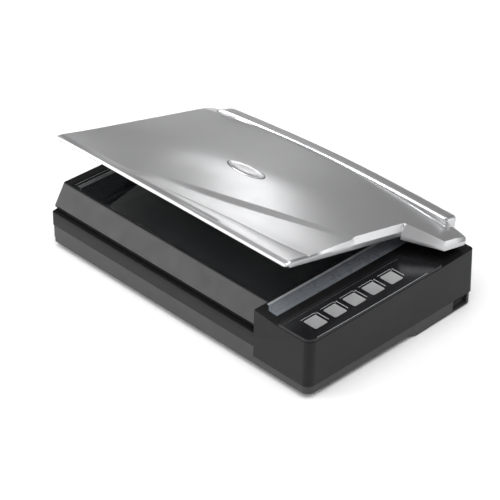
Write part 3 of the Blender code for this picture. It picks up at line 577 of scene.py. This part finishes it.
def lid_cover():
    """The lid's skin: a grid of columns over the lid and its ear, with walls below its rim."""
    mesh = bmesh.new()
    grid = []
    columns = [(x, None) for x in lid_columns()] + [(SIDE, share) for share in CHAMFER_SHARES]
    for x, share in columns:
        rows, turn = column_rows(x if share is None else SIDE - share * CHAMFER_MOST)
        line = []
        for y in rows:
            real = x if share is None else SIDE - share * chamfer_width(y)
            line.append(mesh.verts.new((real, y, BOTTOM + cover_height(real, y, True))))
        grid.append(line)
    main_last = len(grid) - 1
    ear_columns = [SIDE + e * mm for e in (0.25, 1.5, 4, 8, 13, 19, 26, 33, 40, 47, 53)]
    ear_columns += [END - e * mm for e in (7, 5.4, 4.5, 3.6, 2.4, 1.2, 0.5, 0)]
    for x in ear_columns:
        rows, turn = column_rows(x)
        line = [mesh.verts.new((x, y, BOTTOM + cover_height(x, y, False))) for y in rows[turn:]]
        grid.append([None] * turn + line)
    last_row = len(grid[0]) - 1
    for i in range(len(grid) - 1):
        for j in range(last_row):
            corners = (grid[i][j], grid[i + 1][j], grid[i + 1][j + 1], grid[i][j + 1])
            if None in corners:
                continue
            middle = sum(c.co.x for c in corners) / 4
            if not (over_post(middle) and corners[0].co.y > SLOT_FRONT - 0.1 * mm):
                mesh.faces.new(corners)
    loop = [line[0] for line in grid[:main_last]] + grid[main_last][:turn]
    loop += [line[turn] for line in grid[main_last:-1]] + grid[-1][turn:-1]
    loop += [line[-1] for line in reversed(grid[1:])] + grid[0][last_row:0:-1]
    walls(mesh, loop)
    piece("lid_lip", flare(rim_lip(loop)), "lid", "black_plastic", LID_REST)
    flare(mesh)
    bmesh.ops.remove_doubles(mesh, verts=mesh.verts, dist=0.005 * mm)
    cover = piece("lid_cover_skin", drop_loose(mesh), "lid", "silver_paint", LID_REST,
                  stands_for=("lid_cover",))
    if sum(p.normal.z * p.area for p in cover.data.polygons) < 0:
        cover.data.flip_normals()
    thick = cover.modifiers.new("wall", "SOLIDIFY")
    thick.thickness = WALL_THICKNESS
    thick.offset = -1
    apply_modifiers(cover, 18)


def flare(mesh):
    """Draws the lid's front left corner out to a point."""
    for vert in mesh.verts:
        x, y, z = vert.co
        front = max((-100 * mm - y) / (87 * mm), 0) ** 2
        left = max((-200 * mm - x) / (107 * mm), 0)
        vert.co.x -= 4 * mm * front * left
        vert.co.y -= 3 * mm * front * left * left
    return mesh


def below_rim(mesh, loop, places):
    """Points below the lid's rim, each given by how far in it stands and how high, in mm."""
    count = len(loop)
    rings = []
    for k, vert in enumerate(loop):
        x, y = vert.co.x, vert.co.y
        along = (loop[(k + 1) % count].co - loop[k - 1].co).to_2d()
        inward = Vector((-along.y, along.x))
        inward = inward.normalized() if along.length > 1e-6 else Vector((0, 0))
        foot = BOTTOM - (EAR_DROP if x > SIDE + 0.01 * mm else 0)
        lifted = LIP_FRONT * (1 - ease((y - FRONT - 3 * mm) / (6 * mm)))
        ring = []
        for far_in, up in places:
            shift = inward * far_in * mm
            level = foot + up * mm + (lifted if up >= 1 else 0)
            ring.append(mesh.verts.new((x + shift.x, y + shift.y, level)))
        rings.append(ring)
    return rings


def in_pocket(one, two):
    """Whether a stretch of the lid's rear edge lies in a pocket round a post."""
    middle = (one.co + two.co) / 2
    return middle.y > SLOT_FRONT and over_post(middle.x)


def rim_lip(loop):
    """A thin dark edge that shows below the cover all round."""
    mesh = bmesh.new()
    rings = below_rim(mesh, loop, ((0.7, 0.15), (0.7, 2.4), (1.6, 2.4), (1.6, 0.15)))
    count = len(rings)
    open_at = []
    for k in range(count):
        one, two = rings[k], rings[(k + 1) % count]
        if in_pocket(loop[k], loop[(k + 1) % count]):
            open_at.append(k)
            continue
        for a in range(4):
            b = (a + 1) % 4
            mesh.faces.new((one[a], one[b], two[b], two[a]))
    for k in open_at:
        for end, beside in ((k, k - 1), ((k + 1) % count, (k + 1) % count)):
            if beside not in open_at:
                mesh.faces.new(rings[end])
    return drop_loose(mesh)


def walls(mesh, loop):
    """The outer wall under the rim of the top, rounded in at its foot."""
    count = len(loop)
    rings = below_rim(mesh, loop, ((0, 2.0), (0.2, 1.3), (0.6, 1.0)))
    below = [[vert] + ring for vert, ring in zip(loop, rings)]
    for k in range(count):
        one, two = below[k], below[(k + 1) % count]
        if in_pocket(one[0], two[0]):
            continue
        for a in range(3):
            mesh.faces.new((one[a], one[a + 1], two[a + 1], two[a]))


def ear_inner_wall():
    """The wall under the ear, beside the lid's frame."""
    wall = box((SIDE - 2.2 * mm, SIDE - 0.2 * mm), (EAR_FRONT + 4 * mm, REAR - 6 * mm),
               (BOTTOM - EAR_DROP + 0.3 * mm, BOTTOM + 4 * mm))
    piece("ear_inner_wall", bevel(wall, 0.3 * mm), "lid", "silver_paint", LID_REST)


# ---------------------------------------------------------------- hinge cover

BAR_LOW, BAR_HIGH = closed_box("hinge_cover")
CREST = 1.6 * mm  # radius of the bar's front upper edge
BACK_ROUND = 8 * mm  # radius of its rear upper edge


def bar_section(x, start, end):
    """The bar's outline at x, as points (y, height above the lid's foot)."""
    front, rear = BAR_LOW.y, BAR_HIGH.y - 0.5 * mm
    share = (x - BAR_LOW.x) / (BAR_HIGH.x - BAR_LOW.x)
    top = (20.5 + 11.5 * share + 9 * math.sin(math.pi * share)) * mm
    top -= 0.55 * round_off(x - start, 26 * mm)
    inset = 0.5 * round_off(x - start, 8 * mm)
    foot = lid_height(min(x, END), front) - 1.2 * mm
    ledge = foot + 1.6 * mm
    rise = max(top - ledge, 1.5 * mm)
    face = min(rise - 0.7 * CREST, 3.2 * mm)
    under = rise - 0.7 * CREST - face
    near = front + inset
    face_y = near + 1.0 * mm
    cut_y = face_y + min(under, 2 * mm)
    section = [(near, foot), (near, ledge - 0.4 * mm), (near + 0.5 * mm, ledge),
               (cut_y, ledge + 0.1 * mm), (cut_y, ledge + 0.12 * mm + 0.8 * under),
               (face_y, ledge + 0.14 * mm + under)]
    crest_y = face_y + 0.325 * face + 0.951 * CREST
    for k in range(9):
        angle = math.radians(72 * (1 - k / 8))
        level = ledge + rise - CREST * (1 - math.cos(angle))
        section.append((crest_y - CREST * math.sin(angle), level))
    section.append((rear - 11 * mm, top + 0.2 * mm))
    back = rear - inset
    for k in range(7):
        angle = math.radians(90 * (1 - k / 6))
        section.append((back - BACK_ROUND * (1 - math.cos(angle)),
                        top - BACK_ROUND * (1 - math.sin(angle))))
    apron = REAR + 1 * mm
    section += [(back, 6 * mm), (back - 0.4 * mm, 2.2 * mm), (apron, 2.2 * mm), (apron, foot)]
    shrink = 1 - 0.9 * round_off(end - x, 7 * mm) / (7 * mm)
    middle = (front + rear) / 2
    return [(middle + (y - middle) * shrink, foot + (z - foot) * shrink) for y, z in section]


def hinge_cover():
    """The bar over the hinges, with a pocket for each post. Its right end is domed."""
    start, end = BAR_LOW.x + 6 * mm, BAR_HIGH.x
    xs = [start + e * mm for e in (0, 0.6, 1.6, 3.2, 5.5, 9, 14, 20, 27)]
    xs += [xs[-1] + (end - start - 36 * mm) * i / 60 for i in range(1, 60)]
    xs += [end - e * mm for e in (9, 7, 5.6, 4.2, 3, 2, 1.2, 0.6, 0.2, 0)]
    mesh = bmesh.new()
    rings = [[mesh.verts.new((x, y, BOTTOM + z)) for y, z in bar_section(x, start, end)]
             for x in xs]
    bar = piece("hinge_cover_skin", join_rings(mesh, rings), "lid", "silver_paint",
                stands_for=("hinge_cover",), angle=30)
    for p in POSTS:
        pocket = box((p - SLOT_HALF, p + SLOT_HALF), (SLOT_FRONT, 215 * mm),
                     (BOTTOM - 20 * mm, BOTTOM + 14.2 * mm))
        cutter = loose_object("pocket", pocket)
        cut = bar.modifiers.new("pocket", "BOOLEAN")
        cut.object = cutter
        cut.operation = "DIFFERENCE"
        apply_modifiers(bar, 30)
        bpy.data.objects.remove(cutter, do_unlink=True)
    bar.data.transform(LID_REST)


def hinge_lip():
    """A raised lip on the lid along the foot of the hinge cover, with a groove between them."""
    mesh = bmesh.new()
    start, end = BAR_LOW.x + 12 * mm, BAR_HIGH.x - 4 * mm
    foot_y = BAR_LOW.y - 2.2 * mm
    rings = []
    count = 60
    for i in range(count + 1):
        x = start + (end - start) * i / count
        share = ease(i / 8) * ease((count - i) / 3) * ease((abs(i / count - 0.5) - 0.2) / 0.22)
        sunk = 1.5 * (1 - share)
        section = ((0, -2.4), (0.3, 1.4 * share - sunk), (1.0, 1.6 * share - sunk),
                   (2.0, 1.2 * share - sunk), (3.0, -2.4))
        ring = []
        for ahead, up in section:
            y = foot_y - ahead * mm
            ring.append(mesh.verts.new((x, y, BOTTOM + lid_height(x, y) + up * mm)))
        rings.append(ring)
    piece("hinge_lip", join_rings(mesh, rings), "lid", "silver_paint", LID_REST, angle=50)


# ---------------------------------------------------------------- badge

def oval(profile, ends):
    """Ovals round the badge's middle, each given by its share of the badge and its height in mm."""
    low, high = closed_box("badge")
    centre, half = (low + high) / 2, (high - low) / 2
    mesh = bmesh.new()
    rings = []
    count = 72
    for share, up in profile:
        ring = []
        for i in range(count):
            angle = 2 * math.pi * i / count
            x = centre.x + half.x * share * math.cos(angle)
            y = centre.y + half.y * share * math.sin(angle)
            ring.append(mesh.verts.new((x, y, BOTTOM + lid_height(x, y) + up * mm)))
        rings.append(ring)
    return join_rings(mesh, rings, ends)


def badge():
    """A blank oval plate with a raised rim, laid on the lid's crown in a dark seat."""
    plate = oval(((1.0, -0.5), (1.0, 0.75), (0.985, 1.05), (0.95, 1.1), (0.925, 0.85), (0.9, 0.7),
                  (0.45, 0.78)), "closed")
    piece("badge_plate", plate, "lid", "badge_silver", LID_REST, stands_for=("badge",), angle=40)
    seat = oval(((1.0, -0.4), (1.0, 0.25), (1.045, 0.2), (1.055, -0.4)), "hoop")
    piece("badge_seat", seat, "lid", "badge_silver", LID_REST, look=TRIM_AND_HIGHLIGHT)


# ---------------------------------------------------------------- base pieces

def soften(node, width):
    """Rounds the edges of a CAD node where it stands, once its triangles are merged into faces."""
    obj = frame["nodes"][node]
    weld = obj.modifiers.new("weld", "WELD")
    weld.merge_threshold = 0.01 * mm
    whole = obj.modifiers.new("whole", "DECIMATE")
    whole.decimate_type = "DISSOLVE"
    whole.angle_limit = math.radians(1.5)
    edge = obj.modifiers.new("edge", "BEVEL")
    edge.width = width
    edge.segments = 2
    edge.limit_method = "ANGLE"
    edge.angle_limit = math.radians(28)
    edge.use_clamp_overlap = True
    shade = obj.modifiers.new("shade", "WEIGHTED_NORMAL")
    shade.weight = 100
    for polygon in obj.data.polygons:
        polygon.use_smooth = True


CAP_HEIGHT = 3.9 * mm
STEM_INSET = 10 * mm


def button_pieces():
    """Five caps with a rim round a slightly hollow top, each on a stem."""
    for i in range(5):
        name = f"button_{i + 1}"
        low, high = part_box(name)
        cap_low = high.z - CAP_HEIGHT
        cap = prism(rounded((low.x, high.x), (low.y, high.y), 2.6 * mm), cap_low, high.z)
        cap.faces.ensure_lookup_table()
        top = max(cap.faces, key=lambda f: f.calc_center_median().z)
        rim = bmesh.ops.inset_region(cap, faces=[top], thickness=0.7 * mm, depth=0)
        for vert in set(v for f in rim["faces"] for v in f.verts) - set(top.verts):
            vert.co.z -= 0.45 * mm
        bmesh.ops.inset_region(cap, faces=[top], thickness=2.5 * mm, depth=0)
        for vert in top.verts:
            vert.co.z -= 0.35 * mm
        stem = box((low.x + STEM_INSET, high.x - STEM_INSET),
                   (low.y + STEM_INSET, high.y - STEM_INSET), (low.z, cap_low + 0.3 * mm))
        add_to(cap, bevel(stem, 0.3 * mm))
        piece(name + "_cap", cap, name + "_body", "silver_paint", look=BUTTON_LOOK,
              stands_for=(name,), angle=50)


def button_marks():
    """A pale corner beside each button, which is a painted highlight on the edge of its recess, and
    a row of ten short printed dashes behind it.
    """
    panel_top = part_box("control_panel")[1].z
    recess_highlights, dashes = bmesh.new(), bmesh.new()
    level = (panel_top - 0.05 * mm, panel_top + 0.12 * mm)
    wide, dash, gap = 0.55 * mm, 1.7 * mm, 2.7 * mm
    for i in range(5):
        low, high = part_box(f"button_{i + 1}")
        x0, y0, y1 = low.x - 4.2 * mm, low.y - 1.5 * mm, high.y + 1.6 * mm
        # Painted highlight along the left and rear edges of the button's recess.
        add_to(recess_highlights, box((x0, x0 + wide), (y0, y1), level))
        add_to(recess_highlights, box((x0, x0 + 5 * mm), (y1 - wide, y1), level))
        for k in range(10):
            start = x0 + 1.5 * mm + gap * k
            add_to(dashes, box((start, start + dash), (y1 + 3.4 * mm, y1 + 4.8 * mm), level))
    piece("button_recess_highlights", recess_highlights, "base", "silver_paint", look=PRINT_AND_HIGHLIGHT)
    piece("button_dashes", dashes, "base", "silver_paint", look=PRINT_AND_HIGHLIGHT)


def panel_lines():
    """A slightly raised lighter line along the panel's inner side, which is a painted highlight of
    the panel's step edge, and the pale line along its outer edge.
    """
    low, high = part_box("control_panel")
    top = high.z
    x = low.x + 7 * mm
    # Painted highlight: a lighter strip where the step edge up to the panel catches the light.
    border = box((x, x + 0.5 * mm), (low.y + 3 * mm, 74 * mm), (top - 0.05 * mm, top + 0.15 * mm))
    piece("panel_step_highlight", border, "base", "gloss_black", look=TRIM_AND_HIGHLIGHT)
    edge = bmesh.new()
    steps = 24
    rings = []
    for i in range(steps + 1):
        y = low.y + 18 * mm + (258 * mm) * i / steps
        x = high.x - 1.0 * mm - 2.5 * mm * (y / (198 * mm)) ** 2
        rings.append([edge.verts.new((x + dx * mm, y, top + dz * mm))
                      for dx, dz in ((-0.35, -0.05), (-0.35, 0.14), (0.35, 0.14), (0.35, -0.05))])
    piece("panel_edge", join_rings(edge, rings), "base", "gloss_black", look=EDGE_STRIP)


GLASS_TOP = 117.5 * mm
RULER_START, RULER_WIDTH, RULER_FALL = 184 * mm, 57.5 * mm, 6 * mm


def ruler_top(x):
    """Level of the ruler's top, which falls towards the control panel."""
    share = (x - RULER_START) / RULER_WIDTH
    return GLASS_TOP - RULER_FALL * share + 0.6 * mm


def ruler_marks():
    """Plain ticks, a long line and six pairs of small corners on the ruler, and its pale edge."""
    low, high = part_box("ruler_strip")
    mesh = bmesh.new()

    def mark(x, y):
        slab = box(x, y, (0, 0.1 * mm))
        for vert in slab.verts:
            vert.co.z += ruler_top(vert.co.x) - 0.03 * mm
        add_to(mesh, slab)

    tick = 0
    y = low.y + 14 * mm
    while y < high.y - 2 * mm:
        reach = 5 if tick % 10 == 0 else 3.4 if tick % 5 == 0 else 2
        mark((low.x + 1 * mm, low.x + (1 + reach) * mm), (y, y + 0.25 * mm))
        y += 2 * mm
        tick += 1
    line_x = low.x + 0.66 * (high.x - low.x)
    mark((line_x, line_x + 0.35 * mm), (low.y + 2 * mm, high.y - 2 * mm))
    for k in range(6):
        y = low.y + (22 + 62 * k) * mm
        for corner_y in (y, y + 7 * mm):
            mark((low.x + 9 * mm, low.x + 12 * mm), (corner_y, corner_y + 0.4 * mm))
            mark((low.x + 9 * mm, low.x + 9.4 * mm), (corner_y, corner_y + 3.4 * mm))
    piece("ruler_marks", mesh, "base", "ruler_grey", look=DARK_PRINT)
    edge = box((low.x - 4.6 * mm, low.x - 0.4 * mm), (low.y + 9 * mm, high.y - 1 * mm),
               (-0.6 * mm, 0.1 * mm))
    for vert in edge.verts:
        vert.co.z += ruler_top(vert.co.x)
    piece("ruler_edge", bevel(edge, 0.08 * mm, 1), "base", "ruler_grey", look=EDGE_STRIP)


def document_pad():
    """The white foam pad under the lid, evenly filled, with its edge pressed thinner all round."""
    low, high = closed_box("document_mat")
    mesh = bmesh.new()
    columns, rows = 48, 32
    top, bottom = [], []
    for i in range(columns + 1):
        x = low.x + (high.x - low.x) * i / columns
        upper, lower = [], []
        for j in range(rows + 1):
            y = low.y + (high.y - low.y) * j / rows
            edge = min(x - low.x, high.x - x, y - low.y, high.y - y)
            pressed = 0.9 * mm * (1 - ease(edge / (14 * mm)))
            ripple = 0.12 * mm * math.sin(x * 31) * math.cos(y * 43)
            upper.append(mesh.verts.new((x, y, high.z)))
            lower.append(mesh.verts.new((x, y, low.z + 0.15 * mm + pressed + ripple)))
        top.append(upper)
        bottom.append(lower)
    for i in range(columns):
        for j in range(rows):
            mesh.faces.new((top[i][j], top[i + 1][j], top[i + 1][j + 1], top[i][j + 1]))
            mesh.faces.new((bottom[i][j], bottom[i][j + 1], bottom[i + 1][j + 1], bottom[i + 1][j]))
    for i in range(columns):
        for j in (0, rows):
            mesh.faces.new((top[i][j], top[i + 1][j], bottom[i + 1][j], bottom[i][j]))
    for j in range(rows):
        for i in (0, columns):
            mesh.faces.new((top[i][j], top[i][j + 1], bottom[i][j + 1], bottom[i][j]))
    pad = piece("document_pad", mesh, "lid", "white_mat", LID_REST, stands_for=("document_mat",),
                angle=50)


def glass_margins():
    """Printed on the glass: a grey strip over the calibration strip, and thin lines beside it."""
    low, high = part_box("glass_plate")
    strip_low, strip_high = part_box("calibration_strip")
    level = (high.z - 0.02 * mm, high.z + 0.07 * mm)
    deep = (low.y + 3 * mm, high.y - 3 * mm)
    lines = box((low.x + 4.2 * mm, low.x + 5.6 * mm), deep, level)
    for x in (strip_low.x - 0.9 * mm, strip_high.x):
        add_to(lines, box((x, x + 0.9 * mm), deep, level))
    strip = box((strip_low.x, strip_high.x), deep, level)
    piece("glass_lines", lines, "base", "glass", look=STRIP_LINE)
    piece("glass_strip", strip, "base", "glass", look=TRIM_AND_HIGHLIGHT)


# ---------------------------------------------------------------- put together

for row in frame["record"]["subparts"]:
    node_object = frame["nodes"][row["node"]]
    node_object.data.materials.clear()
    node_object.data.materials.append(LOOKS[row["material_slot"]])

lid_cover()
ear_inner_wall()
hinge_cover()
hinge_lip()
badge()
document_pad()
button_pieces()
button_marks()
panel_lines()
ruler_marks()
glass_margins()

EDGES = (
    (0.7 * mm, ("top_housing", "bottom_tub")),
    (0.6 * mm, ("control_panel",)),
    (0.25 * mm, ("ruler_strip", "glass_plate")),
    (0.3 * mm, ("port_plate", "usb_port", "dc_inlet", "power_switch", "carriage_housing",
                "lid_frame", "motor", "belt_clamp", "home_sensor", "ear_plate")),
)
for width, nodes in EDGES:
    for node in nodes:
        soften(node, width)

# ---------------------------------------------------------------- stage, lights, camera

scene = bpy.context.scene
scene.view_settings.view_transform = "Standard"
floor_mesh = bmesh.new()
bmesh.ops.create_grid(floor_mesh, x_segments=1, y_segments=1, size=12)
floor_data = bpy.data.meshes.new("floor")
floor_mesh.to_mesh(floor_data)
floor_mesh.free()
floor = place_object("floor", floor_data)
floor_data.materials.append(
    surface("floor", (0.9, 0.9, 0.9), 0.7, depth=0.01 * mm, mottle=0.01, edge=1.0))

world = bpy.data.worlds.new("studio")
scene.world = world
world.use_nodes = True
sky, wire = world.node_tree.nodes, world.node_tree.links
direction = sky.new("ShaderNodeTexCoord").outputs["Generated"]


def sky_ramp(value, stops):
    """The studio's brightness by a value, with stops of (value, brightness)."""
    ramp = sky.new("ShaderNodeValToRGB")
    wire.new(value, ramp.inputs[0])
    elements = ramp.color_ramp.elements
    elements.remove(elements[-1])
    for k, (at, level) in enumerate(stops):
        stop = elements.new(at) if k else elements[0]
        stop.position = at
        stop.color = (level, level, level, 1)
    return ramp.outputs[0]


OVERHEAD = Vector((0.2, -0.2, 0.96)).normalized()  # towards the middle of the light above

height = sky.new("ShaderNodeSeparateXYZ")
wire.new(direction, height.inputs[0])
around = sky_ramp(height.outputs["Z"], ((0.0, 0.044), (0.12, 0.048), (0.3, 0.074), (0.37, 0.094),
                                        (0.5, 0.03), (0.6, 0.03), (0.72, 0.12)))
facing = sky.new("ShaderNodeVectorMath")
facing.operation = "DOT_PRODUCT"
wire.new(direction, facing.inputs[0])
facing.inputs[1].default_value = OVERHEAD
overhead = sky_ramp(facing.outputs["Value"], ((0.8, 0.0), (0.9, 1.0)))
both = sky.new("ShaderNodeMix")
both.data_type = "RGBA"
both.blend_type = "ADD"
both.inputs["Factor"].default_value = 1.0
wire.new(around, both.inputs[6])
wire.new(overhead, both.inputs[7])
wire.new(both.outputs[2], sky["Background"].inputs["Color"])
sky["Background"].inputs["Strength"].default_value = 3.3


def area(name, place, target, size, power):
    """A rectangular light that looks at a point."""
    light = bpy.data.lights.new(name, "AREA")
    light.shape = "RECTANGLE"
    light.size, light.size_y = size
    light.energy = power
    obj = place_object(name, light)
    obj.location = place
    obj.rotation_euler = (Vector(target) - Vector(place)).to_track_quat("-Z", "Y").to_euler()


area("back softbox", (-1.71, 2.05, 1.42), (0, 0, 0.12), (0.4, 0.5), 3.1)
area("front strip", (-1.9, -2.5, 0.85), (0, 0, 0.1), (2.0, 0.9), 78)
area("right strip", (2.4, 1.8, 0.5), (0, 0, 0.12), (1.6, 0.7), 9)

# The camera stands at the photograph's viewing angle. Its axes point right, up and backwards.
CAMERA_PLACE = Vector((1.93503, -1.97781, 1.87975))
CAMERA_AXES = (Vector((0.70436, 0.70968, 0.01486)), Vector((-0.4004, 0.37994, 0.83387)),
               Vector((0.58614, -0.59329, 0.55177)))
camera = bpy.data.cameras.new("camera")
camera.lens = 139.24
camera.sensor_width = 36
camera.clip_end = 60
eye = place_object("camera", camera)
turned = Matrix(CAMERA_AXES).transposed().to_4x4()
eye.matrix_world = Matrix.Translation(CAMERA_PLACE) @ turned
scene.camera = eye
